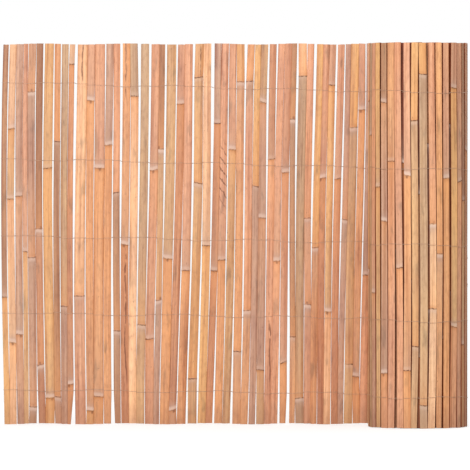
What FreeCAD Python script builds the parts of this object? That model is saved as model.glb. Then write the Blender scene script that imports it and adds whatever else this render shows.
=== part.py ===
import FreeCAD, Part
import math
import os

import Sketcher

# A roll of split bamboo fencing, standing on its slat ends and partly unrolled.
# Flat stretch: upright slats in one plane, skin side to the front (-Y), free edge at -X.
# Wound stretch: the panel turns forward round a hollow core at +X, skin side inwards.
# Five tie wires run along the whole length, each with one strand before and one behind the slats.
# Frame: +X along the panel, +Z up, origin on the ground below the middle of the outer box.

# Driving dimensions, in millimetres and degrees; counts are whole numbers.
COMMON_SIZES = (
    ("slat_length", 1000),
    ("flat_length", 1084.5),
    ("edge_allowance", 3.6),
    ("slat_clearance", 0.6),
    ("culm_radius", 45),
    ("culm_wall", 4),
    ("knuckle_rise", 0.8),
    ("knuckle_reach", 6),
    ("foot_wave", 3),
    ("foot_wave_slats", 10),
    ("wire_diameter", 1.0),
    ("wire_clearance", 0.3),
    ("wire_foot_height", 85),
    ("wire_head_drop", 115),
    ("roll_radius", 130),
    ("roll_half_turns", 8),
    ("roll_slack", 1.3),
    ("roll_slat_width", 18),
    ("roll_width_spread", 5),
    ("roll_slat_gap", 3),
    ("roll_foot_scatter", 1.5),
    ("roll_front_first", 10),
)

# Fall of each tie wire towards the roll, in degrees, from the lowest wire up.
WIRE_SLOPES = (0.6, 0.8, 1.1, 1.4, 1.4)

# Flat slats from the free edge on: width of the even middle, gap to the slat before at the head
# and at the foot, and the heights of the knuckles. Each slat's edges take up part of the gaps.
# Widths and gaps share out the flat length. The last ones stand behind the roll.
FLAT_SLATS = (
    (13.0, 0.0, 0.0, (335,)),
    (16.5, 4.5, 3.5, (215, 593, 778)),
    (17.5, 2.5, 1.0, (236, 600)),
    (10.5, 1.5, 1.5, (453,)),
    (18.0, 1.0, 3.5, (44, 437, 873)),
    (16.0, 2.0, 6.5, (154, 512)),
    (22.0, 6.5, 2.0, (67, 672)),
    (15.0, 5.0, 3.0, (71, 743)),
    (17.0, 2.5, 1.0, (310,)),
    (12.5, 3.0, 1.0, (105, 948)),
    (24.0, 9.0, 8.5, (338,)),
    (16.0, 2.5, 5.5, (36, 852)),
    (22.5, 4.5, 4.0, (72, 673)),
    (16.5, 6.5, 5.0, (733,)),
    (16.0, 2.0, 10.5, (244, 608)),
    (18.0, 6.5, 1.0, (470,)),
    (18.5, 4.0, 3.5, (861,)),
    (19.5, 7.5, 1.5, (260,)),
    (20.0, 10.0, 4.0, (224, 668)),
    (13.5, 1.0, 1.0, (327, 725)),
    (21.5, 7.5, 3.5, (436,)),
    (17.0, 8.0, 4.0, (37, 843)),
    (19.0, 2.5, 4.5, (404,)),
    (20.0, 9.0, 8.0, (118, 633, 911)),
    (19.0, 1.5, 6.0, (468,)),
    (16.5, 10.0, 2.0, (401, 789)),
    (17.5, 1.0, 4.5, (430,)),
    (17.0, 5.5, 6.0, (721,)),
    (18.5, 1.0, 6.0, (191, 901)),
    (17.0, 8.5, 3.5, (300, 903)),
    (15.0, 1.0, 5.0, (627,)),
    (17.5, 2.0, 3.5, (143, 543, 847)),
    (16.5, 6.5, 3.0, (697,)),
    (16.5, 3.0, 2.0, (428,)),
    (17.5, 1.0, 5.5, (160, 660)),
    (12.5, 1.0, 9.0, (228, 801)),
    (19.0, 6.0, 2.5, (67, 914)),
    (14.5, 4.0, 5.0, (314, 541)),
    (14.0, 8.0, 2.5, (465,)),
    (13.5, 4.5, 4.0, (648,)),
    (14.5, 3.0, 4.0, (296, 893)),
    (15.5, 6.5, 3.5, (646,)),
    (12.0, 6.0, 3.0, (538,)),
    (18.5, 3.0, 7.0, (157, 780)),
    (15.5, 2.0, 3.5, (123, 825)),
    (16.0, 5.0, 3.0, (390,)),
    (18.0, 4.0, 7.0, ()),
    (18.0, 4.0, 7.0, ()),
    (18.0, 4.0, 7.0, ()),
    (18.0, 4.0, 7.0, ()),
    (18.0, 4.0, 7.0, ()),
)

# Slats on the front of the roll, from its right side to its left: width and knuckle heights.
ROLL_FRONT_SLATS = (
    (18.0, (440,)),
    (19.0, (720,)),
    (17.0, (215, 590)),
    (20.0, (640,)),
    (22.0, (262, 882)),
    (20.0, (648,)),
    (16.5, (452,)),
    (18.0, (310, 530)),
    (21.0, (60, 918)),
    (16.5, (212, 797)),
    (18.0, (150, 655)),
    (18.5, (415,)),
    (20.0, (692,)),
    (21.0, (142, 537, 845)),
    (18.0, (625,)),
    (17.0, (350,)),
    (18.0, (760,)),
)

# Golden-section step: successive multiples, less their whole part, scatter evenly over 0 to 1.
SCATTER_STEP = 0.618034

doc = FreeCAD.newDocument("bamboo_fence_panel")
sheet = doc.addObject("Spreadsheet::Sheet", "Sizes")
sheet_row = 0


def write_row(name, entries):
    """Adds a row to the sheet: its name, then numbers under their aliases."""
    global sheet_row
    sheet_row += 1
    sheet.set(f"A{sheet_row}", name)
    for column, (alias, number) in zip("BCDEFG", entries):
        sheet.set(f"{column}{sheet_row}", str(number))
        sheet.setAlias(f"{column}{sheet_row}", alias)


def size(alias):
    """The number that the sheet holds under an alias."""
    return float(getattr(sheet, alias))


def knuckle_aliases(name, knuckles):
    return [f"{name}_knuckle_{place}" for place in range(1, len(knuckles) + 1)]


for alias, number in COMMON_SIZES:
    write_row(alias, [(alias, number)])

flat_names = [f"slat_{order:02d}" for order in range(1, len(FLAT_SLATS) + 1)]
for name, (width, gap_head, gap_foot, knuckles) in zip(flat_names, FLAT_SLATS):
    gaps = [(f"{name}_gap_head", gap_head), (f"{name}_gap_foot", gap_foot)]
    heights = list(zip(knuckle_aliases(name, knuckles), knuckles))
    write_row(name, [(f"{name}_width", width)] + gaps + heights)

wire_names = [f"tie_wire_{order}" for order in range(1, len(WIRE_SLOPES) + 1)]
for name, slope in zip(wire_names, WIRE_SLOPES):
    write_row(name, [(f"{name}_slope", slope)])

front_names = [f"roll_front_{order:02d}" for order in range(1, len(ROLL_FRONT_SLATS) + 1)]
for name, (width, knuckles) in zip(front_names, ROLL_FRONT_SLATS):
    heights = list(zip(knuckle_aliases(name, knuckles), knuckles))
    write_row(name, [(f"{name}_width", width)] + heights)
doc.recompute()

# Lengths that follow from the driving ones.
layout = doc.addObject("App::VarSet", "Layout")


def derive(name, formula):
    layout.addProperty("App::PropertyFloat", name)
    layout.setExpression(name, formula)


def width_formulas(names):
    return [f"Sizes.{name}_width" for name in names]


def flat_run_formula(end):
    """Widths of the flat slats and their gaps at one end, as they stand in the table."""
    gaps = [f"Sizes.{name}_gap_{end}" for name in flat_names]
    return " + ".join(width_formulas(flat_names) + gaps)


def depth_formula(width):
    """From the crown of a slat's skin to the edges of its pith face."""
    return (
        "Sizes.culm_radius - (Sizes.culm_radius - Sizes.culm_wall)"
        f" * cos(asin({width} / (2 * Sizes.culm_radius)))"
    )


widest_by_rule = "(Sizes.roll_slat_width + Sizes.roll_width_spread / 2)"
table_run = f"max({flat_run_formula('foot')}; {flat_run_formula('head')})"
derive("WidthShare", f"(Sizes.flat_length - Sizes.roll_slat_gap / 2) / {table_run}")
# What the two slats at a gap take up of it: all but the clearance at its narrower end, up to the
# allowance.
derive(f"{flat_names[0]}_taken", "0")
for name in flat_names[1:]:
    spare = f"min(Sizes.{name}_gap_head; Sizes.{name}_gap_foot) - Sizes.slat_clearance"
    derive(f"{name}_taken", f"max(0; min(Sizes.edge_allowance; {spare}))")
for name, after in zip(flat_names, flat_names[1:] + [None]):
    taken = f"({name}_taken + {after}_taken)" if after else f"{name}_taken"
    derive(f"{name}_width", f"(Sizes.{name}_width + {taken} / 2) * WidthShare")
derive("WidestFlat", f"max({'; '.join(f'{name}_width' for name in flat_names)})")
derive("WidestWound", f"max({'; '.join(width_formulas(front_names) + [widest_by_rule])})")
derive("WireRoom", "2 * (Sizes.wire_diameter + Sizes.wire_clearance) + Sizes.roll_slack")
derive("WoundDepth", depth_formula("WidestWound"))
derive("CoreRadius", "Sizes.roll_radius - Sizes.roll_half_turns / 2 * (WoundDepth + WireRoom)")
# A flat slat's corners stand out from a round winding, most of all next to the core.
derive("CornerRoom", "(WidestWound / 2) ^ 2 / (2 * CoreRadius)")
derive("SlatDepth", f"max({depth_formula('WidestFlat')}; WoundDepth + CornerRoom)")
derive("StrandOffset", "SlatDepth / 2 + Sizes.wire_clearance + Sizes.wire_diameter / 2")
derive("RollPitch", "SlatDepth + WireRoom")

# The middle of each flat slat, measured along the panel from its free edge, at the foot and the head.
for end in ("foot", "head"):
    edge_before = "0"
    for name in flat_names:
        gap = f"(Sizes.{name}_gap_{end} - {name}_taken) * WidthShare"
        derive(f"{name}_{end}", f"{edge_before} + {gap} + {name}_width / 2")
        edge_before = f"{name}_{end} + {name}_width / 2"
derive("HalfSpan", "(Sizes.flat_length + Sizes.roll_radius) / 2")
derive(
    "WireSpacing",
    "(Sizes.slat_length - Sizes.wire_foot_height - Sizes.wire_head_drop)"
    f" / {len(wire_names) - 1}",
)
doc.recompute()


def standing_knuckles(name, knuckles, x):
    """Aliases of the knuckles on a slat at x: none past its head, and none under a tie wire."""
    reach = size("knuckle_reach")
    room = reach + size("wire_diameter") / 2 + size("wire_clearance") + size("foot_wave")
    wires = [
        size("wire_foot_height")
        + row * layout.WireSpacing
        - x * math.tan(math.radians(size(f"{wire}_slope")))
        for row, wire in enumerate(wire_names)
    ]
    return [
        alias
        for alias in knuckle_aliases(name, knuckles)
        if reach < size(alias) < size("slat_length") - reach
        and all(abs(size(alias) - wire) > room for wire in wires)
    ]


def slat_profile(length, radius, wall, knuckles, rise, reach, ridge_on_skin):
    """Corners of a slat's long section, as distance from the culm's axis and height.

    The culm's wall runs from its pith face to its skin, and a low ridge stands on one of the
    two faces at each knuckle. All arguments but the last are numbers, or formulas as text.
    """
    pith = f"({radius} - {wall})"
    face, ridge = (radius, f"({radius} + {rise})") if ridge_on_skin else (pith, f"({pith} - {rise})")
    ridges = []
    for height in knuckles:
        ridges += [(face, f"({height} - {reach})"), (ridge, height), (face, f"({height} + {reach})")]
    if ridge_on_skin:
        return [(pith, "0"), (radius, "0")] + ridges + [(radius, length), (pith, length)]
    return [(radius, "0"), (pith, "0")] + ridges + [(pith, length), (radius, length)]


# Flat slats: each is the wall of a bamboo culm, revolved about the culm's axis by the split angle.
def make_flat_slat(order, name, knuckles):
    body = doc.addObject("PartDesign::Body", name)
    body.Label = name
    side_plane = next(f for f in body.Origin.OriginFeatures if f.Role == "YZ_Plane")
    sketch = body.newObject("Sketcher::SketchObject", f"{name}_wall")
    sketch.AttachmentSupport = (side_plane, [""])
    sketch.MapMode = "FlatFace"

    x = getattr(layout, f"{name}_foot") - layout.HalfSpan
    corners = slat_profile(
        "Sizes.slat_length",
        "Sizes.culm_radius",
        "Sizes.culm_wall",
        [f"Sizes.{alias}" for alias in standing_knuckles(name, knuckles, x)],
        "Sizes.knuckle_rise",
        "Sizes.knuckle_reach",
        ridge_on_skin=True,
    )
    numbers = [(layout.evalExpression(out), layout.evalExpression(up)) for out, up in corners]
    points = [FreeCAD.Vector(-out, up, 0) for out, up in numbers]
    count = len(points)
    sketch.addGeometry([Part.LineSegment(points[i], points[(i + 1) % count]) for i in range(count)])
    for i in range(count):
        sketch.addConstraint(Sketcher.Constraint("Coincident", i, 2, (i + 1) % count, 1))
    for i, (out, up) in enumerate(corners):
        across = sketch.addConstraint(Sketcher.Constraint("DistanceX", i, 1, -1, 1, numbers[i][0]))
        sketch.setExpression(f"Constraints[{across}]", out)
        if up == "0":
            sketch.addConstraint(Sketcher.Constraint("PointOnObject", i, 1, -1))
            continue
        along = sketch.addConstraint(Sketcher.Constraint("DistanceY", -1, 1, i, 1, numbers[i][1]))
        sketch.setExpression(f"Constraints[{along}]", up)

    split = body.newObject("PartDesign::Revolution", f"{name}_split")
    split.Profile = sketch
    split.ReferenceAxis = (sketch, ["V_Axis"])
    split.Midplane = True
    split.setExpression("Angle", f"2 * asin(Layout.{name}_width / (2 * Sizes.culm_radius))")

    lean = f"(Layout.{name}_head - Layout.{name}_foot) / Sizes.slat_length"
    wave_angle = f"360 deg * {order} / Sizes.foot_wave_slats"
    body.Placement.Rotation = FreeCAD.Rotation(FreeCAD.Vector(0, 1, 0), 1)
    body.setExpression(".Placement.Rotation.Angle", f"asin({lean})")
    body.setExpression(".Placement.Base.x", f"Layout.{name}_foot - Layout.HalfSpan")
    body.setExpression(
        ".Placement.Base.y", "Sizes.roll_radius - Layout.SlatDepth / 2 + Sizes.culm_radius"
    )
    body.setExpression(
        ".Placement.Base.z",
        f"Sizes.foot_wave / 2 * (1 - cos({wave_angle})) + abs({lean}) * Layout.{name}_width / 2",
    )
    return body


parts = []
for order, (name, row) in enumerate(zip(flat_names, FLAT_SLATS)):
    parts.append(make_flat_slat(order, name, row[3]))
doc.recompute()

# The roll is wound in half turns about two centres, so that each half turn runs smoothly into the
# next and every whole turn lies one pitch inside the turn before.
roll_axis_x = size("flat_length") - layout.HalfSpan
half_turns = int(size("roll_half_turns"))


def half_turn(order):
    """Centre, mid radius and starting direction in degrees of one half turn of the panel."""
    inset = layout.RollPitch / 2
    centre = FreeCAD.Vector(roll_axis_x, -inset if order % 2 else 0, 0)
    return centre, size("roll_radius") - order * inset, -90 if order % 2 else 90


def outward(angle):
    return FreeCAD.Vector(math.cos(math.radians(angle)), math.sin(math.radians(angle)), 0)


def make_wound_slat(order, width, centre, radius, angle):
    """One slat of the roll, its skin towards the roll's centre and its foot near the ground."""
    corners = slat_profile(
        size("slat_length"),
        size("culm_radius"),
        size("culm_wall"),
        wound_knuckles(order, (centre + outward(angle) * radius).x),
        size("knuckle_rise"),
        size("knuckle_reach"),
        ridge_on_skin=False,
    )
    points = [
        FreeCAD.Vector(0, -layout.evalExpression(str(out)), layout.evalExpression(str(up)))
        for out, up in corners
    ]
    half_angle = math.degrees(math.asin(width / (2 * size("culm_radius"))))
    axis = FreeCAD.Vector(0, 0, 1)
    section = Part.Face(Part.makePolygon(points + points[:1]))
    section.rotate(FreeCAD.Vector(), axis, -half_angle)
    slat = section.revolve(FreeCAD.Vector(), axis, 2 * half_angle)
    culm_axis = centre + outward(angle) * (radius - layout.SlatDepth / 2 + size("culm_radius"))
    culm_axis.z = size("roll_foot_scatter") * (order * SCATTER_STEP % 1)
    slat.Placement = FreeCAD.Placement(culm_axis, FreeCAD.Rotation(axis, angle - 90))
    return slat


def front_place(order):
    """Place in the list of front slats of a wound slat, or None for the slats made by rule."""
    place = order - int(size("roll_front_first"))
    return place if 0 <= place < len(front_names) else None


def wound_width(order):
    place = front_place(order)
    if place is None:
        return size("roll_slat_width") + size("roll_width_spread") * (order * SCATTER_STEP % 1 - 0.5)
    return size(f"{front_names[place]}_width")


def wound_knuckles(order, x):
    place = front_place(order)
    if place is None:
        return []
    return [size(alias) for alias in standing_knuckles(front_names[place], ROLL_FRONT_SLATS[place][1], x)]


def place_at(run):
    """Half turn, centre, mid radius and outward direction after a run along the wound panel."""
    for order in range(half_turns):
        centre, radius, start_angle = half_turn(order)
        if run <= math.pi * radius:
            return order, centre, radius, start_angle - math.degrees(run / radius)
        run -= math.pi * radius


turns = [[] for _ in range((half_turns + 1) // 2)]
wound_run = sum(math.pi * half_turn(order)[1] for order in range(half_turns))
gap = size("roll_slat_gap")
edge = gap / 2
slat_order = 0
width = wound_width(slat_order)
while edge + width + gap / 2 <= wound_run:
    order, centre, radius, angle = place_at(edge + width / 2)
    turns[order // 2].append(make_wound_slat(slat_order, width, centre, radius, angle))
    edge += width + gap
    slat_order += 1
    width = wound_width(slat_order)

for order, slats in enumerate(turns, 1):
    turn = doc.addObject("Part::Feature", f"roll_turn_{order}")
    turn.Label = f"roll_turn_{order}"
    turn.Shape = Part.makeCompound(slats)
    turn.Placement = FreeCAD.Placement()
    parts.append(turn)


# Tie wires: one closed loop each, folded round the free edge, along both faces of the panel and
# closed again behind the last slat in the core.
def arc_edge(centre, radius, start_angle, sweep):
    places = [centre + outward(start_angle + sweep * share) * radius for share in (0, 0.5, 1)]
    return Part.Arc(*places).toShape()


def wire_route():
    offset = layout.StrandOffset
    fold = FreeCAD.Vector(-layout.HalfSpan, size("roll_radius"), 0)
    tangent = FreeCAD.Vector(roll_axis_x, size("roll_radius"), 0)
    aside = FreeCAD.Vector(0, offset, 0)
    edges = [Part.LineSegment(fold - aside, tangent - aside).toShape()]
    for order in range(half_turns):
        centre, radius, angle = half_turn(order)
        edges.append(arc_edge(centre, radius - offset, angle, -180))
    centre, radius, angle = half_turn(half_turns - 1)
    end = centre + outward(angle - 180) * radius
    edges.append(arc_edge(end, offset, angle, 180))
    for order in reversed(range(half_turns)):
        centre, radius, angle = half_turn(order)
        edges.append(arc_edge(centre, radius + offset, angle - 180, 180))
    edges.append(Part.LineSegment(tangent + aside, fold + aside).toShape())
    edges.append(arc_edge(fold, offset, 90, 180))
    return Part.Wire(edges)


route = wire_route()
wire_section = Part.Circle(
    route.Edges[0].Vertexes[0].Point, FreeCAD.Vector(1, 0, 0), size("wire_diameter") / 2
)
wire_shape = route.makePipeShell([Part.Wire(wire_section.toShape())], True, False)
for row, name in enumerate(wire_names):
    wire = doc.addObject("Part::Feature", name)
    wire.Label = name
    wire.Shape = wire_shape
    wire.Placement.Rotation = FreeCAD.Rotation(FreeCAD.Vector(0, 1, 0), 1)
    wire.setExpression(".Placement.Rotation.Angle", f"Sizes.{name}_slope")
    wire.setExpression(".Placement.Base.z", f"Sizes.wire_foot_height + {row} * Layout.WireSpacing")
    parts.append(wire)
doc.recompute()

# Nothing is written unless every object is sound.
for item in doc.Objects:
    if {"Invalid", "Error"} & set(item.State):
        raise RuntimeError(f"{item.Label} failed: {item.getStatusString()}")
for part in parts:
    if part.Shape.isNull() or not part.Shape.isValid():
        raise RuntimeError(f"{part.Label} has no sound shape")

os.makedirs("parts", exist_ok=True)
for part in parts:
    part.Shape.exportStep(f"parts/{part.Label}.step")

wire_area = math.pi * size("wire_diameter") ** 2 / 4
print("slats", len(flat_names), "flat and", [len(slats) for slats in turns], "wound")
print("wire volume", round(wire_shape.Volume), "section times length", round(wire_area * route.Length))
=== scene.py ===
import math
from collections import namedtuple

import bmesh
import bpy
import numpy as np
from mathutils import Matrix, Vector


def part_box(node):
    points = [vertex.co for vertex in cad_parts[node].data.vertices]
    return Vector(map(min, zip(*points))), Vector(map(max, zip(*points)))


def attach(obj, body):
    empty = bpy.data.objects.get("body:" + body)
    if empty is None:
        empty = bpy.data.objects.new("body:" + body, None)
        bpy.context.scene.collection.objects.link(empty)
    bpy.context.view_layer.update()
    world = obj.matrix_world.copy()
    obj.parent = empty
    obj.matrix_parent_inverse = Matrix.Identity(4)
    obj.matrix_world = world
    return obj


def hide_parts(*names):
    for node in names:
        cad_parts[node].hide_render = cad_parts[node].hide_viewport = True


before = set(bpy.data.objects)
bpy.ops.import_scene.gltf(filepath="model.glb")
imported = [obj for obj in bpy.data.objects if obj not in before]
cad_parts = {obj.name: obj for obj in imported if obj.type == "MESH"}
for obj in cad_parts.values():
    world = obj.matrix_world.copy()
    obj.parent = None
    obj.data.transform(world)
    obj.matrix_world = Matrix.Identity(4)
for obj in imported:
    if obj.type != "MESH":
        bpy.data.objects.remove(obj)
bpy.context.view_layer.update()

# Flat slats
# Strips split from the wall of bamboo culms and sawn to one length, standing side by side with
# their skin to the front. Each keeps a raised ring at every knuckle, and rows of wire hold it.
Slat = namedtuple(
    "Slat",
    "number foot head across inward half_width knuckles tones wax_side taper neighbours stains gouges",
)
GOLDEN_STEP = 0.618034
UP = np.array((0.0, 0.0, 1.0))
SKIN_RADIUS = 0.045
WALL = 0.004


def srgb(red, green, blue):
    """A colour on the usual scale of 0 to 255, as the linear colour that a shader takes."""
    shares = [channel / 255 for channel in (red, green, blue)]
    return [s / 12.92 if s <= 0.04045 else ((s + 0.055) / 1.055) ** 2.4 for s in shares] + [1.0]


TONES = {
    "peach": srgb(244, 188, 144),
    "golden": srgb(228, 171, 114),
    "orange": srgb(226, 160, 112),
    "salmon": srgb(222, 158, 122),
    "tan": srgb(214, 164, 118),
    "khaki": srgb(198, 157, 121),
    "pink_grey": srgb(200, 152, 126),
    "red_brown": srgb(202, 136, 98),
    "brown": srgb(184, 130, 94),
    "dark_brown": srgb(160, 108, 78),
    # Not a colour of the bamboo: near-black painted shade for the roll's inner turns, which show only
    # through its gaps.
    "umber": srgb(118, 34, 4),
}

# Tones of each slat's lengths between knuckles, from its foot up, and on which side of a knuckle
# the grey bloom lies: 1 above it, -1 below it.
FLAT_TONES = (
    ("golden brown", 1),
    ("peach peach golden peach", 1),
    ("pink_grey pink_grey pink_grey", 1),
    ("tan salmon", 1),
    ("brown pink_grey pink_grey", -1),
    ("red_brown red_brown dark_brown", -1),
    ("golden golden golden", 1),
    ("red_brown brown orange", -1),
    ("pink_grey khaki", -1),
    ("red_brown red_brown peach", 1),
    ("salmon peach", -1),
    ("golden orange salmon", 1),
    ("orange orange salmon", 1),
    ("orange pink_grey", 1),
    ("brown brown salmon", -1),
    ("red_brown orange", 1),
    ("peach khaki", 1),
    ("tan khaki", -1),
    ("salmon salmon salmon", 1),
    ("pink_grey tan brown", -1),
    ("orange tan", 1),
    ("pink_grey red_brown salmon", 1),
    ("orange salmon", 1),
    ("golden golden golden tan", -1),
    ("golden peach", 1),
    ("red_brown red_brown pink_grey", 1),
    ("orange salmon", 1),
    ("tan salmon", 1),
    ("orange orange golden", -1),
    ("orange salmon orange", -1),
    ("pink_grey golden", -1),
    ("khaki pink_grey pink_grey tan", 1),
    ("salmon red_brown", 1),
    ("salmon salmon", 1),
    ("orange salmon salmon", 1),
    ("orange brown brown", -1),
    ("khaki khaki peach", -1),
    ("salmon salmon salmon", -1),
    ("orange golden", -1),
    ("red_brown salmon", 1),
    ("peach golden salmon", 1),
    ("red_brown salmon", 1),
    ("pink_grey pink_grey", -1),
    ("golden tan golden", -1),
    ("orange orange salmon", 1),
    ("salmon pink_grey", 1),
    ("tan", 1),
    ("salmon", 1),
    ("golden", 1),
    ("brown", 1),
    ("orange", 1),
)


def slat_solids(node):
    """Corner points of each solid in a CAD node, taken from a merged copy of its mesh."""
    work = bmesh.new()
    work.from_mesh(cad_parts[node].data)
    bmesh.ops.remove_doubles(work, verts=work.verts[:], dist=1e-5)
    work.verts.index_update()
    seen = set()
    solids = []
    for start in work.verts:
        if start.index in seen:
            continue
        seen.add(start.index)
        reached = [start]
        for vert in reached:
            for edge in vert.link_edges:
                other = edge.other_vert(vert)
                if other.index not in seen:
                    seen.add(other.index)
                    reached.append(other)
        solids.append(np.array([vert.co for vert in reached], float))
    work.free()
    return solids


def crown_end(points, inward):
    """The middle of the skin at one end of a slat, and half the slat's width there."""
    across = np.cross(inward, UP)
    sideways = points @ across
    middle = (sideways.max() + sideways.min()) / 2
    height = (points[:, 2].max() + points[:, 2].min()) / 2
    crown = across * middle + inward * (points @ inward).min() + UP * height
    return crown, (sideways.max() - sideways.min()) / 2


END_BAND = 0.008
LEVEL_STEP = 0.001


def measure_slat(points, inward, number, tones, wax_side):
    """Reads one slat off its solid's corner points. The inward direction runs from skin to pith."""
    heights = points[:, 2]
    foot, half_width = crown_end(points[heights < heights.min() + END_BAND], inward)
    head, _ = crown_end(points[heights > heights.max() - END_BAND], inward)
    axis = (head - foot) / np.linalg.norm(head - foot)
    runs = np.sort((points - foot) @ axis)
    levels = [run for run, last in zip(runs[1:], runs) if run - last > LEVEL_STEP]
    # A knuckle's ring shows as three levels, of which the middle one is its crest.
    knuckles = levels[1:-1:3] if len(levels) > 3 else []
    across = np.cross(inward, UP)
    even = np.zeros((2, 2))
    alone = (None, None)
    return Slat(
        number, foot, head, across, inward, half_width, knuckles, tones, wax_side, even, alone, (), ()
    )


def with_neighbours(slats):
    """Tells each slat of a row which slats stand on its two sides."""
    row = [None, *slats, None]
    return [slat._replace(neighbours=(row[i], row[i + 2])) for i, slat in enumerate(slats)]


# Slats closer than the touching gap meet with a small overlap; others grow by a little at foot and
# head. By the roll all feet meet.
TOUCHING_GAP = 0.0014
EDGE_OVERLAP = 0.0005
OPEN_GROWTH = (0.0011, 0.0002)
FEET_MEET_FROM = 44


def with_tapers(slats):
    """Lets flat slats touch where they nearly do, and at their feet close to the roll."""
    tapers = [np.zeros((2, 2)) for _ in slats]
    for order, (left, right) in enumerate(zip(slats, slats[1:])):
        reach = left.half_width + right.half_width
        for end, (before, after) in enumerate(((left.foot, right.foot), (left.head, right.head))):
            gap = after[0] - before[0] - reach
            by_roll = end == 0 and left.number >= FEET_MEET_FROM
            touching = gap < TOUCHING_GAP or by_roll
            growth = gap / 2 + EDGE_OVERLAP if touching else OPEN_GROWTH[end]
            tapers[order][end, 1] = growth
            tapers[order + 1][end, 0] = growth
    return with_neighbours([slat._replace(taper=taper) for slat, taper in zip(slats, tapers)])


RING_SPACING = 0.04
END_RING = 0.0015
LEAST_STEP = 0.0009
KNUCKLE_RINGS_MM = (-14, -9, -6, -4, -2.5, -1.2, 0, 1.2, 2.5, 4, 6, 9, 14)


def ring_places(length, knuckles):
    """Where along a slat its cross sections lie: at the ends, at a step, and close at knuckles."""
    marks = list(np.arange(RING_SPACING, length, RING_SPACING)) + [END_RING, length - END_RING]
    for knuckle in knuckles:
        marks += [knuckle + ring / 1000 for ring in KNUCKLE_RINGS_MM]
    places = [0.0]
    for mark in sorted(marks):
        if places[-1] + LEAST_STEP < mark < length - LEAST_STEP:
            places.append(float(mark))
    return places + [length]


KNUCKLE_RISE = 0.0008
SCAR_SPREAD = 0.0020
RIDGE_PLACE = 0.0055
RIDGE_SPREAD = 0.0032
RIDGE_SHARE = 0.6


def knuckle_swell(reach):
    """Height of a knuckle as a share of its rise, at a signed distance in metres: scar and ridge."""
    scar = math.exp(-((reach / SCAR_SPREAD) ** 2))
    ridge = RIDGE_SHARE * math.exp(-(((reach - RIDGE_PLACE) / RIDGE_SPREAD) ** 2))
    return min(1.0, scar + ridge)


WAVE_SIZE = 0.0018
WAVES_PER_LENGTH = 0.8
WAVES_PER_SLAT = 0.035
KINK_SIZE = 0.0034
KINK_STEP = 0.41
BELLY_SIZE = 0.0070
BELLY_SLATS = 5
BELLY_SHIFT = 0.3


def bend(slat, share):
    """Sideways bend of a slat at a share of its length.

    It adds a wave that neighbours share, a kink at each knuckle, and a belly by the free edge.
    """
    turns = WAVES_PER_LENGTH * share + WAVES_PER_SLAT * slat.number
    wave = WAVE_SIZE * math.sin(2 * math.pi * turns)
    length = np.linalg.norm(slat.head - slat.foot)
    stops = [0.0, *(knuckle / length for knuckle in slat.knuckles), 1.0]
    start = slat.number * GOLDEN_STEP
    leans = [(start + order * KINK_STEP) % 1 - 0.5 for order in range(len(stops))]
    kink = KINK_SIZE * np.interp(share, stops, leans)
    belly = BELLY_SIZE * math.exp(-(slat.number - 1) / BELLY_SLATS)
    belly *= BELLY_SHIFT - math.sin(math.pi * share)
    return slat.across * (wave + kink + belly)


def crown_at(slat, share):
    """The middle of a slat's skin at a share of its length."""
    return slat.foot + (slat.head - slat.foot) * share + bend(slat, share)


def room_beside(slat, other, share):
    """How far a slat's edge may grow at a share of its length, until it meets the next slat."""
    if other is None:
        return slat.half_width
    step = crown_at(other, share) - crown_at(slat, share) + (other.inward - slat.inward) * WALL / 2
    gap = abs(step @ slat.across) - slat.half_width - other.half_width
    return gap / 2 + EDGE_OVERLAP


MARK_FADE = 0.03


def inside(place, stretches):
    """1 within any of the stretches along a slat, 0 outside them, with a short fade at their ends."""
    depths = [min(place - low, high - place) / MARK_FADE for low, high in stretches]
    return max(0.0, min(1.0, max(depths, default=0.0)))


# Feet split narrower than the rest of their slat, with how much on the left and on the right, and
# how far up the split runs.
NARROW_FEET = {10: (0.0, 0.007), 14: (0.0, 0.002), 15: (0.003, 0.0), 35: (0.0, 0.004)}
NARROW_REACH = 0.085
BLOOM_LENGTH = 0.16
BARE_LENGTH = 0.12
NEAR_LIMIT = 0.05
SIDE_FADE = 0.0012


def slat_marks(slat):
    """One row for each ring of a slat: its place and all that the finish reads there."""
    length = float(np.linalg.norm(slat.head - slat.foot))
    axis = (slat.head - slat.foot) / length
    rows = []
    places = ring_places(length, slat.knuckles)
    narrow = np.array(NARROW_FEET.get(slat.number, (0.0, 0.0)))
    for order, place in enumerate(places):
        reaches = [place - knuckle for knuckle in slat.knuckles]
        nearest = min(reaches, key=abs, default=1.0)
        below = sum(reach > 0 for reach in reaches)
        bloom_from = [r * slat.wax_side for r in reaches if r * slat.wax_side >= 0]
        bare_from = [-r * slat.wax_side for r in reaches if r * slat.wax_side < 0]
        share = place / length
        crown = crown_at(slat, share)
        grown = slat.taper[0] + (slat.taper[1] - slat.taper[0]) * share
        grown = np.minimum(grown, [room_beside(slat, other, share) for other in slat.neighbours])
        grown = grown - narrow * max(0.0, 1.0 - place / NARROW_REACH)
        split_left, split_right = np.arcsin((slat.half_width + grown) / SKIN_RADIUS)
        rows.append(
            {
                "position": crown,
                "rail_crown": crown,
                "rail_across": slat.across,
                "rail_inward": slat.inward,
                "rail_axis": axis,
                "rail_split_left": split_left,
                "rail_split_right": split_right,
                "rail_swell": sum(knuckle_swell(reach * slat.wax_side) for reach in reaches),
                "rail_cut": {0: 1.0, len(places) - 1: -1.0}.get(order, 0.0),
                "along": place,
                "slat_number": slat.number,
                "tone": TONES[slat.tones[min(below, len(slat.tones) - 1)]],
                "stain": inside(place, slat.stains),
                "gouge": inside(place, slat.gouges),
                "bloom": math.exp(-min(bloom_from, default=1.0) / BLOOM_LENGTH),
                "bare": math.exp(-min(bare_from, default=1.0) / BARE_LENGTH),
                "knuckle_near": min(abs(nearest), NEAR_LIMIT),
                "knuckle_side": max(-1.0, min(1.0, nearest * slat.wax_side / SIDE_FADE)),
            }
        )
    return rows


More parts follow.
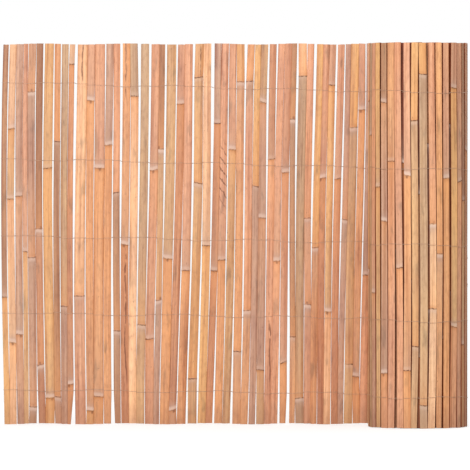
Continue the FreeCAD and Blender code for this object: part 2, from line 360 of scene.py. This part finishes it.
def rail_object(name, slats):
    """An object whose mesh is a chain of marks for each slat, with the marks' rows as attributes."""
    rows = []
    edges = []
    for slat in slats:
        marks = slat_marks(slat)
        edges += [(len(rows) + i, len(rows) + i + 1) for i in range(len(marks) - 1)]
        rows += marks
    rail = bpy.data.meshes.new(name)
    rail.from_pydata([row["position"] for row in rows], edges, [])
    for key, sample in rows[0].items():
        if key == "position":
            continue
        size = np.size(sample)
        kind, field = {1: ("FLOAT", "value"), 3: ("FLOAT_VECTOR", "vector")}.get(
            size, ("FLOAT_COLOR", "color")
        )
        values = np.array([row[key] for row in rows], np.float32).ravel()
        rail.attributes.new(key, kind, "POINT").data.foreach_set(field, values)
    piece = bpy.data.objects.new(name, rail)
    bpy.context.scene.collection.objects.link(piece)
    return piece


class Signal:
    """An output socket of a node tree. Arithmetic on it adds Math nodes to that tree."""

    def __init__(self, socket):
        self.socket = socket

    @classmethod
    def node(cls, tree, kind, settings=None, inputs=None, output=0):
        """Adds any node: first its settings, then values or links on its sockets."""
        made = tree.nodes.new(kind)
        for name, value in (settings or {}).items():
            setattr(made, name, value)
        for key, value in (inputs or {}).items():
            if isinstance(value, Signal):
                tree.links.new(value.socket, made.inputs[key])
            else:
                made.inputs[key].default_value = value
        return cls(made.outputs[output])

    def math(self, operation, *others, reflected=False):
        """Adds a Math node on this signal and the others, or on them in reverse order."""
        values = (*others, self) if reflected else (self, *others)
        tree = self.socket.id_data
        return Signal.node(tree, "ShaderNodeMath", {"operation": operation}, dict(enumerate(values)))

    def __add__(self, other):
        return self.math("ADD", other)

    def __radd__(self, other):
        return self.math("ADD", other, reflected=True)

    def __sub__(self, other):
        return self.math("SUBTRACT", other)

    def __rsub__(self, other):
        return self.math("SUBTRACT", other, reflected=True)

    def __mul__(self, other):
        return self.math("MULTIPLY", other)

    def __rmul__(self, other):
        return self.math("MULTIPLY", other, reflected=True)

    def __pow__(self, other):
        return self.math("POWER", other)

    def __abs__(self):
        return self.math("ABSOLUTE")


def new_tree(name, sockets):
    """A Geometry Nodes tree with the given inputs, and the signals of those inputs by name."""
    tree = bpy.data.node_groups.new(name, "GeometryNodeTree")
    tree.interface.new_socket("Geometry", in_out="OUTPUT", socket_type="NodeSocketGeometry")
    for label, kind in sockets.items():
        tree.interface.new_socket(label, in_out="INPUT", socket_type=kind)
    entry = tree.nodes.new("NodeGroupInput")
    return tree, {label: Signal(entry.outputs[label]) for label in sockets}


def close_tree(tree, geometry, finish):
    """Ends a tree in real geometry with its finish."""
    solid = Signal.node(tree, "GeometryNodeRealizeInstances", {}, {"Geometry": geometry})
    dressed = Signal.node(tree, "GeometryNodeSetMaterial", {}, {"Geometry": solid, "Material": finish})
    leave = tree.nodes.new("NodeGroupOutput")
    tree.links.new(dressed.socket, leave.inputs["Geometry"])


SECTION_CORNERS = 20
SECTION_SQUARENESS = 0.35
KNUCKLE_SPREAD = 0.035
SAWN_FACING = 0.8
SHARP_FOLD = 0.9


def slat_tree():
    """Sweeps the section of a split culm along each rail, with knuckles and saw-cut ends."""
    tree, given = new_tree(
        "split_bamboo_slat",
        {
            "Geometry": "NodeSocketGeometry",
            "Skin Radius": "NodeSocketFloat",
            "Wall": "NodeSocketFloat",
            "Knuckle Rise": "NodeSocketFloat",
            "Edge Wander": "NodeSocketFloat",
            "Flare": "NodeSocketFloat",
            "Saw Cut": "NodeSocketFloat",
            "Seed": "NodeSocketFloat",
            "Finish": "NodeSocketMaterial",
        },
    )

    def read(name, kind="FLOAT"):
        return Signal.node(
            tree, "GeometryNodeInputNamedAttribute", {"data_type": kind}, {"Name": name}
        )

    def store(geometry, name, value, kind="FLOAT", domain="POINT"):
        return Signal.node(
            tree,
            "GeometryNodeStoreNamedAttribute",
            {"data_type": kind, "domain": domain},
            {"Geometry": geometry, "Name": name, "Value": value},
        )

    def combine(x, y, z):
        return Signal.node(tree, "ShaderNodeCombineXYZ", {}, {0: x, 1: y, 2: z})

    def scatter(x, y, z):
        """Smooth noise between about -1 and 1."""
        place = combine(x, y, z + given["Seed"])
        noise = Signal.node(
            tree, "ShaderNodeTexNoise", {}, {"Vector": place, "Scale": 1.0, "Detail": 1.0}
        )
        return (noise - 0.5) * 3.0

    def scaled(vector, length):
        return Signal.node(
            tree, "ShaderNodeVectorMath", {"operation": "SCALE"}, {"Vector": vector, "Scale": length}
        )

    def summed(first, second):
        return Signal.node(tree, "ShaderNodeVectorMath", {"operation": "ADD"}, {0: first, 1: second})

    # The section starts as a circle and is squared off: u runs across the slat, v from skin to pith.
    circle = Signal.node(
        tree,
        "GeometryNodeCurvePrimitiveCircle",
        {},
        {"Resolution": SECTION_CORNERS, "Radius": 1.0},
    )
    corner = Signal.node(tree, "GeometryNodeInputPosition")
    squared = []
    for axis in range(2):
        side = Signal.node(tree, "ShaderNodeSeparateXYZ", {}, {0: corner}, axis)
        squared.append(side.math("SIGN") * abs(side) ** SECTION_SQUARENESS)
    section = store(circle, "rail_u", squared[0])
    section = store(section, "rail_v", 0.5 - squared[1] * 0.5)

    rails = Signal.node(tree, "GeometryNodeMeshToCurve", {}, {"Mesh": given["Geometry"]})
    swept = Signal.node(
        tree,
        "GeometryNodeCurveToMesh",
        {},
        {"Curve": rails, "Profile Curve": section, "Fill Caps": True},
    )

    u = read("rail_u")
    v = read("rail_v")
    along = read("along")
    number = read("slat_number")
    swell = read("rail_swell")
    wander = scatter(along * 7.0, number * 3.3, u * 1.5) * given["Edge Wander"]
    split = u.math("MINIMUM", 0.0) * read("rail_split_left")
    split = split + u.math("MAXIMUM", 0.0) * read("rail_split_right")
    angle = split * (1.0 + wander + swell * KNUCKLE_SPREAD + given["Flare"] * (v - 0.5))
    radius = given["Skin Radius"] - given["Wall"] * v + given["Knuckle Rise"] * swell * (1.0 - 2.0 * v)
    sideways = radius * angle.math("SINE")
    depth = given["Skin Radius"] - radius * angle.math("COSINE")
    cut = read("rail_cut") * abs(scatter(u * 1.2, number * 2.7, along)) * given["Saw Cut"]
    place = summed(
        scaled(read("rail_across", "FLOAT_VECTOR"), sideways),
        scaled(read("rail_inward", "FLOAT_VECTOR"), depth),
    )
    # Each ring is set out anew from its mark on the crown line, in place of the sweep's own section.
    crown = read("rail_crown", "FLOAT_VECTOR")
    place = summed(summed(place, scaled(read("rail_axis", "FLOAT_VECTOR"), cut)), crown)
    shaped = Signal.node(
        tree, "GeometryNodeSetPosition", {}, {"Geometry": swept, "Position": place}
    )
    shaped = Signal.node(tree, "GeometryNodeFlipFaces", {}, {"Mesh": shaped})

    shaped = store(shaped, "culm_place", combine(sideways, along, number * 3.7), "FLOAT_VECTOR")
    shaped = store(shaped, "pith", v)
    shaped = store(shaped, "side", abs(u))
    normal = Signal.node(tree, "GeometryNodeInputNormal")
    axis = read("rail_axis", "FLOAT_VECTOR")
    facing = Signal.node(
        tree, "ShaderNodeVectorMath", {"operation": "DOT_PRODUCT"}, {0: normal, 1: axis}, "Value"
    )
    sawn = abs(facing).math("GREATER_THAN", SAWN_FACING)
    shaped = store(shaped, "sawn_end", sawn, "FLOAT", "FACE")
    fold = Signal.node(tree, "GeometryNodeInputMeshEdgeAngle")
    shaped = Signal.node(
        tree,
        "GeometryNodeSetShadeSmooth",
        {"domain": "EDGE"},
        {"Geometry": shaped, "Shade Smooth": fold.math("LESS_THAN", SHARP_FOLD)},
    )
    close_tree(tree, shaped, given["Finish"])
    return tree


def apply_tree(piece, tree, values):
    """Makes a piece's mesh with a tree: inputs set by identifier, result kept as a plain mesh."""
    entries = [item for item in tree.interface.items_tree if item.in_out == "INPUT"]
    sockets = {entry.name: entry.identifier for entry in entries}
    modifier = piece.modifiers.new(tree.name, "NODES")
    modifier.node_group = tree
    for label, value in values.items():
        modifier[sockets[label]] = value
    evaluated = piece.evaluated_get(bpy.context.evaluated_depsgraph_get())
    made = bpy.data.meshes.new_from_object(evaluated)
    piece.modifiers.clear()
    piece.data = made
    for name in [attribute.name for attribute in made.attributes]:
        if name.startswith("rail_"):
            made.attributes.remove(made.attributes[name])


def bamboo_finish():
    """Dried bamboo: a tone for each length, grey bloom by the knuckles, fibres, specks and scars."""
    finish = bpy.data.materials.new("dried_bamboo")
    finish.use_nodes = True
    tree = finish.node_tree
    shader = tree.nodes["Principled BSDF"]

    def attribute(name, output="Fac"):
        return Signal.node(tree, "ShaderNodeAttribute", {"attribute_name": name}, output=output)

    def noise(stretch, detail=2.0):
        place = Signal.node(
            tree,
            "ShaderNodeVectorMath",
            {"operation": "MULTIPLY"},
            {0: attribute("culm_place", "Vector"), 1: stretch},
        )
        return Signal.node(
            tree, "ShaderNodeTexNoise", {}, {"Vector": place, "Scale": 1.0, "Detail": detail}
        )

    def fade(value, low, high):
        """0 below the low value, 1 above the high one, smooth between."""
        return Signal.node(
            tree,
            "ShaderNodeMapRange",
            {"interpolation_type": "SMOOTHSTEP"},
            {"Value": value, "From Min": low, "From Max": high},
        )

    def mix(amount, first, second):
        return Signal.node(
            tree, "ShaderNodeMix", {"data_type": "RGBA"}, {0: amount, 6: first, 7: second}, 2
        )

    def shade(amount, first, share):
        settings = {"data_type": "RGBA", "blend_type": "MULTIPLY"}
        return Signal.node(tree, "ShaderNodeMix", settings, {0: amount, 6: first, 7: share}, 2)

    hair = noise((2600.0, 22.0, 1.2), 1.0)
    fibre = noise((900.0, 16.0, 1.0))
    streak = noise((250.0, 3.5, 1.3))
    band = noise((100.0, 1.4, 1.1), 1.0)
    blotch = noise((28.0, 6.0, 1.7))
    mottle = noise((170.0, 55.0, 2.7))
    mould = noise((45.0, 11.0, 3.3), 3.0)
    bold = noise((0.0, 2.0, 1.9), 0.0)
    bloom = attribute("bloom")
    bare = attribute("bare")
    near = attribute("knuckle_near")
    side = attribute("knuckle_side")
    pith = attribute("pith")
    # The split sides, which carry painted shade for the gaps between slats and are rougher.
    edge = fade(attribute("side"), 0.90, 1.0)
    # 1 on the wound slats, whose split sides get more of that painted shade.
    wound = fade(attribute("slat_number"), len(FLAT_TONES), len(FLAT_TONES) + 1.0)

    # The grain, in layers: a pattern, where it begins and is full, how much, and its tint.
    grain = (
        (blotch, 0.45, 0.72, 0.45, (1.20, 1.16, 0.98, 1)),
        (blotch, 0.50, 0.26, 0.55, (0.72, 0.68, 0.76, 1)),
        (band, 0.50, 0.70, 0.60, (0.70, 0.54, 0.44, 1)),
        (band, 0.46, 0.26, 0.50, (1.28, 1.38, 1.36, 1)),
        (streak, 0.53, 0.74, 0.65, (0.56, 0.38, 0.28, 1)),
        (streak, 0.46, 0.24, 0.40, (1.32, 1.50, 1.55, 1)),
        (fibre, 0.50, 0.80, 0.42, (0.45, 0.30, 0.22, 1)),
        (hair, 0.48, 0.72, 0.40, (0.66, 0.56, 0.48, 1)),
        (hair, 0.46, 0.28, 0.30, (1.25, 1.30, 1.30, 1)),
        (mottle, 0.50, 0.70, 0.48, (0.72, 0.65, 0.64, 1)),
        (mottle, 0.46, 0.30, 0.40, (1.15, 1.16, 1.19, 1)),
        (mould, 0.58, 0.72, 0.75, (0.58, 0.62, 0.66, 1)),
    )
    colour = attribute("tone", "Color")
    for pattern, begins, full, amount, tint in grain:
        colour = shade(fade(pattern, begins, full) * amount, colour, tint)

    # Bare and bloomed stretches by the knuckles, slats darker towards the foot, scorch marks and
    # slanting gouges.
    colour = mix(bare * 0.45, colour, srgb(230, 156, 98))
    colour = mix(bloom * fade(blotch, 0.15, 0.65) * 0.55, colour, srgb(186, 150, 126))
    culm_place = attribute("culm_place", "Vector")
    offset = Signal.node(tree, "ShaderNodeSeparateXYZ", {}, {0: culm_place})
    along = Signal.node(tree, "ShaderNodeSeparateXYZ", {}, {0: culm_place}, 1)
    darker_at_foot = fade(along + (streak - 0.5) * 0.12, 0.085, 0.0)
    colour = mix(darker_at_foot * 0.30, colour, srgb(158, 104, 74))
    ragged = offset - 0.0015 + (blotch - 0.5) * 0.030 + (mottle - 0.5) * 0.004
    scorch = attribute("stain") * fade(abs(ragged), 0.0026, 0.0008) * fade(mottle, 0.30, 0.50)
    colour = mix(scorch * 0.85, colour, srgb(118, 62, 32))
    slant = along * 230.0 + offset * 330.0 + (mottle - 0.5) * 5.0
    gouge = attribute("gouge") * fade(slant.math("SINE"), 0.70, 0.95) * fade(streak, 0.35, 0.5)
    colour = mix(gouge * 0.85, colour, srgb(112, 60, 32))

    # At a knuckle: a dark scar line that wavers and tilts, a pale ring on the side with the bloom,
    # and here and there the scar of a bud.
    waver = (noise((150.0, 0.0, 1.9), 3.0) - 0.5) * 0.006
    tilt = offset * (noise((0.0, 2.6, 4.7), 0.0) - 0.5) * 1.3
    reach = near * side + waver + tilt * fade(near, 0.03, 0.01)
    close = fade(near, 0.045, 0.030)
    ring = fade(reach, 0.0005, 0.003) * fade(reach, 0.014, 0.006) * close
    frost = fade(reach, 0.002, 0.005) * fade(reach + (fibre - 0.5) * 0.03, 0.028, 0.008) * close
    colour = mix(frost * fade(bold, 0.3, 0.6) * 0.50, colour, srgb(188, 152, 136))
    colour = mix(ring * (0.2 + fade(bold, 0.35, 0.65) * 0.5), colour, srgb(224, 189, 168))
    rust = fade(reach, -0.014, -0.002) * fade(reach, 0.0005, -0.001) * close
    colour = mix(rust * 0.35, colour, srgb(190, 120, 72))
    broken = 0.25 + fade(noise((170.0, 0.0, 3.1), 3.0), 0.36, 0.62) * 0.75
    scar = fade(abs(reach), 0.0022, 0.0006) * broken * close
    colour = mix(scar * (0.5 + fade(bold, 0.6, 0.4) * 0.45), colour, srgb(104, 60, 38))

    beside = (offset - (noise((0.0, 2.2, 5.3), 0.0) - 0.5) * 0.03) * 250.0
    below = (reach + 0.0035) * 190.0
    bud = fade(beside * beside + below * below, 1.1, 0.0) * fade(bold, 0.54, 0.60) * close
    colour = mix(bud * 0.6, colour, srgb(116, 66, 40))

    # Dark specks all over, painted shade on the split sides that darkens the gaps between slats (more
    # on the wound slats), a paler pith side, and pores on the sawn ends.
    specks = fade(noise((330.0, 120.0, 2.3), 1.0), 0.74, 0.80)
    colour = mix(specks * 0.55, colour, srgb(112, 66, 42))
    colour = mix(edge * (0.40 + wound * 0.50), colour, srgb(132, 48, 8))
    colour = shade(fade(pith, 0.6, 0.95), colour, (1.08, 1.14, 1.16, 1))
    sawn = attribute("sawn_end")
    pores = fade(noise((1100.0, 0.0, 900.0), 1.0), 0.40, 0.60)
    end_grain = mix(pores, srgb(150, 104, 70), srgb(222, 184, 142))
    colour = mix(sawn, colour, end_grain)
    tree.links.new(colour.socket, shader.inputs["Base Color"])

    rough = 0.46 + pith * 0.18 + bloom * 0.08 + sawn * 0.2 + edge * 0.3 + (fibre - 0.5) * 0.15
    tree.links.new(rough.socket, shader.inputs["Roughness"])
    relief = fibre * 0.6 + hair * 0.35 + streak * 0.4 - scar * 0.6 - gouge * 0.8
    bump = Signal.node(
        tree, "ShaderNodeBump", {}, {"Strength": 0.45, "Distance": 0.0003, "Height": relief}
    )
    tree.links.new(bump.socket, shader.inputs["Normal"])
    shader.inputs["Specular IOR Level"].default_value = 0.35
    return finish


bamboo = bamboo_finish()
slat_maker = slat_tree()
SLAT_SIZES = {
    "Skin Radius": SKIN_RADIUS,
    "Wall": WALL,
    "Knuckle Rise": KNUCKLE_RISE,
    "Edge Wander": 0.035,
    "Saw Cut": 0.0014,
    "Seed": 12.0,
    "Finish": bamboo,
}

# Slats with scorch marks and with gouges, and the stretches along them that bear these.
STAINS = {
    11: ((0.88, 1.03),),
    16: ((0.10, 0.47), (0.84, 1.03)),
    24: ((0.90, 1.03),),
    33: ((0.1, 0.3),),
}
GOUGES = {27: ((0.55, 0.74),)}
FLAT_FLARE = 0.0
SKIN_TO_PITH = np.array((0.0, 1.0, 0.0))


def make_slats(name, node, slats, flare):
    """Makes the visible piece for a CAD node. Flare widens the pith side against the skin."""
    piece = rail_object(name, slats)
    apply_tree(piece, slat_maker, SLAT_SIZES | {"Flare": flare})
    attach(piece, "root")
    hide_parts(node)


panel_run = []
for order, (tones, wax_side) in enumerate(FLAT_TONES, 1):
    points = slat_solids(f"slat_{order:02d}")[0]
    slat = measure_slat(points, SKIN_TO_PITH, order, tones.split(), wax_side)
    panel_run.append(slat._replace(stains=STAINS.get(order, ()), gouges=GOUGES.get(order, ())))
panel_run = with_tapers(panel_run)
for slat in panel_run:
    node = f"slat_{slat.number:02d}"
    make_slats(f"bamboo_{node}", node, [slat], FLAT_FLARE)

# Wound slats
# The rest of the same fence, rolled up with its skin inwards round a hollow core. It is held by its
# tie wires alone; slats on the front show the pith side with their own tones and knuckles.
TURNS = 4
ROLL_FLARE = 0.18
MOST_GROWTH = 0.0015
GROWTH_SPREAD = 0.0048
LOW_KNUCKLE = (0.14, 0.47)
HIGH_KNUCKLE = (0.56, 0.91)
SHOWN_TONES = sorted(set(TONES) - {"umber"})
# Tones of turns 2 and 3, seen only through the gaps of the outer turn: mostly umber, painted shade for
# the depth of those gaps.
PAINTED_SHADE_TONES = ("umber", "umber", "umber", "dark_brown")
ROLL_FRONT_FIRST = 10
ROLL_FRONT_TONES = (
    ("brown brown", 1),
    ("red_brown salmon", 1),
    ("brown tan brown", 1),
    ("salmon salmon", 1),
    ("salmon golden salmon", 1),
    ("orange salmon", 1),
    ("orange orange", -1),
    ("peach peach salmon", -1),
    ("khaki khaki golden", -1),
    ("tan tan golden", -1),
    ("orange orange salmon", 1),
    ("salmon salmon", 1),
    ("salmon orange", 1),
    ("salmon pink_grey pink_grey brown", 1),
    ("tan golden", 1),
    ("pink_grey salmon", 1),
    ("khaki khaki", 1),
)


def with_uneven_gaps(slats):
    """Lets the gaps between wound slats close here and open there, as the winding has left them."""
    tapers = [np.zeros((2, 2)) for _ in slats]
    for order in range(len(slats) - 1):
        for end in range(2):
            scatter = (slats[order].number * GOLDEN_STEP * 7 + end * 0.37) % 1
            growth = MOST_GROWTH - GROWTH_SPREAD * scatter**3
            tapers[order][end, 1] = growth
            tapers[order + 1][end, 0] = growth
    return with_neighbours([slat._replace(taper=taper) for slat, taper in zip(slats, tapers)])


def wound_slats(node, first_number):
    """The slats of one turn in winding order, from the back of the roll over its right side."""
    low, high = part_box(node)
    middle = np.array(((low.x + high.x) / 2, (low.y + high.y) / 2))
    turned = []
    for points in slat_solids(node):
        flat = points[:, :2]
        centre = (flat.max(axis=0) + flat.min(axis=0)) / 2
        _, _, directions = np.linalg.svd(flat - flat.mean(axis=0))
        inward = directions[1] * math.copysign(1.0, directions[1] @ (centre - middle))
        angle = math.degrees(math.atan2(inward[1], inward[0]))
        turned.append(((90 - angle) % 360, np.append(inward, 0.0), points))
    turned.sort(key=lambda entry: entry[0])

    slats = []
    for order, (_, inward, points) in enumerate(turned):
        number = first_number + order
        front = order - ROLL_FRONT_FIRST
        if node == "roll_turn_1" and 0 <= front < len(ROLL_FRONT_TONES):
            tones, wax_side = ROLL_FRONT_TONES[front]
            slats.append(measure_slat(points, inward, number, tones.split(), wax_side))
            continue
        scatter = number * GOLDEN_STEP % 1
        # Turns 2 and 3 take the dark tones of painted shade; the other turns take the bamboo's own
        # tones.
        palette = PAINTED_SHADE_TONES if node in ("roll_turn_2", "roll_turn_3") else SHOWN_TONES
        tones = [palette[int(scatter * 97 + step * 3) % len(palette)] for step in range(3)]
        slat = measure_slat(points, inward, number, tones, 1 if scatter < 0.5 else -1)
        knuckles = [np.interp(scatter, (0, 1), span) for span in (LOW_KNUCKLE, HIGH_KNUCKLE)]
        slats.append(slat._replace(knuckles=knuckles))
    return with_uneven_gaps(slats)


for turn in range(1, TURNS + 1):
    node = f"roll_turn_{turn}"
    slats = wound_slats(node, len(panel_run) + 1)
    panel_run += slats
    make_slats(f"bamboo_{node}", node, slats, ROLL_FLARE)

# Tie wires
# Galvanised wire in five rows, each a loop with one strand before and one behind the slats. The
# strands cross and grip each other in the gaps between slats, so that every slat is held apart.
WIRE_RADIUS = 0.0005
WIRE_LIFT = 0.00055
WIRE_CORNERS = 6
NEAR_EDGE = 0.9
TWIST_GAP = 0.0022
LOOP_REACH = 0.0016
SPLIT_SIDE = 0.955
SPLIT_DEPTH = 0.65
WIRE_ROWS = 5

# Slack in a row, as waves: height, and how far each slat and each row turns the wave. The row is
# taut at the free edge.
SLACK_WAVES = ((0.0028, 0.47, 2.1), (0.0012, 1.7, 1.0))
TAUT_SLATS = 5


def wire_finish():
    """Zinc-coated wire, dulled unevenly by handling and weather."""
    finish = bpy.data.materials.new("galvanised_wire")
    finish.use_nodes = True
    tree = finish.node_tree
    shader = tree.nodes["Principled BSDF"]
    place = Signal.node(tree, "ShaderNodeTexCoord", output="Object")
    dull = Signal.node(
        tree, "ShaderNodeTexNoise", {}, {"Vector": place, "Scale": 70.0, "Detail": 3.0}
    )
    colour = Signal.node(
        tree,
        "ShaderNodeMix",
        {"data_type": "RGBA"},
        {0: dull, 6: srgb(153, 113, 87), 7: srgb(220, 187, 161)},
        2,
    )
    tree.links.new(colour.socket, shader.inputs["Base Color"])
    tree.links.new((0.35 + dull * 0.3).socket, shader.inputs["Roughness"])
    shader.inputs["Metallic"].default_value = 0.5
    return finish


def wire_tree():
    """Sweeps a round wire along its route of marks."""
    tree, given = new_tree(
        "tie_wire_strand",
        {
            "Geometry": "NodeSocketGeometry",
            "Wire Radius": "NodeSocketFloat",
            "Smoothness": "NodeSocketInt",
            "Finish": "NodeSocketMaterial",
        },
    )
    route = Signal.node(tree, "GeometryNodeMeshToCurve", {}, {"Mesh": given["Geometry"]})
    route = Signal.node(
        tree, "GeometryNodeCurveSplineType", {"spline_type": "CATMULL_ROM"}, {"Curve": route}
    )
    route = Signal.node(
        tree,
        "GeometryNodeSetSplineResolution",
        {},
        {"Geometry": route, "Resolution": given["Smoothness"]},
    )
    section = Signal.node(
        tree,
        "GeometryNodeCurvePrimitiveCircle",
        {},
        {"Resolution": WIRE_CORNERS, "Radius": given["Wire Radius"]},
    )
    drawn = Signal.node(
        tree, "GeometryNodeCurveToMesh", {}, {"Curve": route, "Profile Curve": section}
    )
    drawn = Signal.node(tree, "GeometryNodeSetShadeSmooth", {}, {"Geometry": drawn})
    close_tree(tree, drawn, given["Finish"])
    return tree


def wire_route(node, row):
    """Marks along a row's loop: over the skins to the core, and back over the pith side."""
    low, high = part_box(node)
    fall = (high.z - low.z - 2 * WIRE_RADIUS) / (high.x - low.x)

    def at_wire(slat):
        """A slat's crown point at the height of this row."""
        axis = slat.head - slat.foot
        count = slat.number - 1
        slack = sum(
            size * math.sin(count * by_slat + row * by_row) for size, by_slat, by_row in SLACK_WAVES
        )
        height = high.z - WIRE_RADIUS - (slat.foot[0] - low.x) * fall
        height += slack * min(1.0, count / TAUT_SLATS)
        return crown_at(slat, (height - slat.foot[2]) / axis[2])

    def on_slat(slat, share, on_skin):
        """A point of the wire on a slat's skin or pith, at a share of its half width."""
        angle = math.asin(slat.half_width / SKIN_RADIUS) * share
        crown = at_wire(slat)
        if on_skin:
            radius = SKIN_RADIUS + WIRE_LIFT
            depth = SKIN_RADIUS - radius * math.cos(angle)
        else:
            radius = SKIN_RADIUS - WALL
            depth = SKIN_RADIUS - radius * math.cos(angle) + WIRE_LIFT
        return crown + slat.across * radius * math.sin(angle) + slat.inward * depth

    def by_split(slat, side, beyond=0.0):
        """A point at the middle of a split side, left (-1) or right (1), or a distance past it."""
        reach = side * (slat.half_width * SPLIT_SIDE + beyond)
        return at_wire(slat) + slat.across * reach + slat.inward * WALL * SPLIT_DEPTH

    skin = [by_split(panel_run[0], -1, LOOP_REACH)]
    pith = []
    for order, slat in enumerate(panel_run):
        skin += [on_slat(slat, share, True) for share in (-NEAR_EDGE, 0.0, NEAR_EDGE)]
        pith += [on_slat(slat, share, False) for share in (-NEAR_EDGE, NEAR_EDGE)]
        if order + 1 == len(panel_run):
            skin.append(by_split(slat, 1, LOOP_REACH))
            continue
        left = by_split(slat, 1)
        right = by_split(panel_run[order + 1], -1)
        if np.linalg.norm(right - left) > TWIST_GAP:
            twist = UP * WIRE_RADIUS * (1 if order % 2 else -1)
            skin.append((left + right) / 2 + twist)
            pith.append((left + right) / 2 - twist)
    return skin + pith[::-1]


galvanised = wire_finish()
wire_maker = wire_tree()
for row in range(1, WIRE_ROWS + 1):
    node = f"tie_wire_{row}"
    marks = wire_route(node, row)
    route = bpy.data.meshes.new(f"wire_row_{row}")
    route.from_pydata(marks, [(i, (i + 1) % len(marks)) for i in range(len(marks))], [])
    piece = bpy.data.objects.new(f"wire_row_{row}", route)
    bpy.context.scene.collection.objects.link(piece)
    sizes = {"Wire Radius": WIRE_RADIUS, "Smoothness": 2, "Finish": galvanised}
    apply_tree(piece, wire_maker, sizes)
    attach(piece, "root")
    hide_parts(node)

# Floor and light
# A pale studio floor that keeps the shadow, an even white surround, and two large soft lamps: the
# main one in front of the fence, and a weaker one behind it.
FLOOR_CORNERS = ((-4, -2.6), (4, -2.6), (4, 1.6), (-4, 1.6))
FLOOR_LEVEL = -0.0002
FLOOR_GLOW = 0.62
SURROUND_LIGHT = 0.52
LAMP_SIZE = 3.0
floor_mesh = bpy.data.meshes.new("studio_floor")
floor_mesh.from_pydata([(x, y, FLOOR_LEVEL) for x, y in FLOOR_CORNERS], [], [(0, 1, 2, 3)])
floor = bpy.data.objects.new("studio_floor", floor_mesh)
bpy.context.scene.collection.objects.link(floor)
floor_paint = bpy.data.materials.new("floor_paint")
floor_paint.use_nodes = True
floor_shader = floor_paint.node_tree.nodes["Principled BSDF"]
floor_shader.inputs["Base Color"].default_value = (0.5, 0.5, 0.5, 1)
floor_shader.inputs["Roughness"].default_value = 0.9
floor_shader.inputs["Specular IOR Level"].default_value = 0.0
seen_directly = Signal.node(floor_paint.node_tree, "ShaderNodeLightPath", output="Is Camera Ray")
lift = Signal.node(
    floor_paint.node_tree, "ShaderNodeCombineColor", {}, {key: seen_directly for key in range(3)}
)
floor_paint.node_tree.links.new(lift.socket, floor_shader.inputs["Emission Color"])
floor_shader.inputs["Emission Strength"].default_value = FLOOR_GLOW
floor_mesh.materials.append(floor_paint)

world = bpy.data.worlds.new("studio")
bpy.context.scene.world = world
world.use_nodes = True
surround = world.node_tree.nodes["Background"]
surround.inputs["Color"].default_value = (1, 1, 1, 1)
shown = Signal.node(world.node_tree, "ShaderNodeLightPath", output="Is Camera Ray")
for kind in ("Is Glossy Ray", "Is Transmission Ray"):
    shown = shown.math("MAXIMUM", Signal.node(world.node_tree, "ShaderNodeLightPath", output=kind))
strength = SURROUND_LIGHT + shown * (1 - SURROUND_LIGHT)
world.node_tree.links.new(strength.socket, surround.inputs["Strength"])

panel_middle = Vector((0.0025, 0.13, 0.4987))
for lamp_name, energy, place in (
    ("front_lamp", 218.0, (-0.8, -5.0, 2.3)),
    ("rear_lamp", 120.0, (1.2, 4.8, 2.8)),
):
    lamp_data = bpy.data.lights.new(lamp_name, "AREA")
    lamp_data.size = LAMP_SIZE
    lamp_data.energy = energy
    lamp = bpy.data.objects.new(lamp_name, lamp_data)
    lamp.location = place
    lamp.visible_camera = False
    lamp.rotation_euler = (panel_middle - lamp.location).to_track_quat("-Z", "Y").to_euler()
    bpy.context.scene.collection.objects.link(lamp)

# Camera
# A long lens that faces the panel, a little above its middle, so that the slats stand upright and
# the roll's foot comes lower than the panel's.
SENSOR_MM = 36.0
LENS_MM = 469.5
CAMERA_PLACE = (0.0025, -16.0, 0.70)
camera_data = bpy.data.cameras.new("camera")
camera_data.sensor_width = SENSOR_MM
camera_data.lens = LENS_MM
camera = bpy.data.objects.new("camera", camera_data)
camera.location = CAMERA_PLACE
camera.rotation_euler = (panel_middle - camera.location).to_track_quat("-Z", "Y").to_euler()
bpy.context.scene.collection.objects.link(camera)
bpy.context.scene.camera = camera
bpy.context.scene.view_settings.view_transform = "Standard"
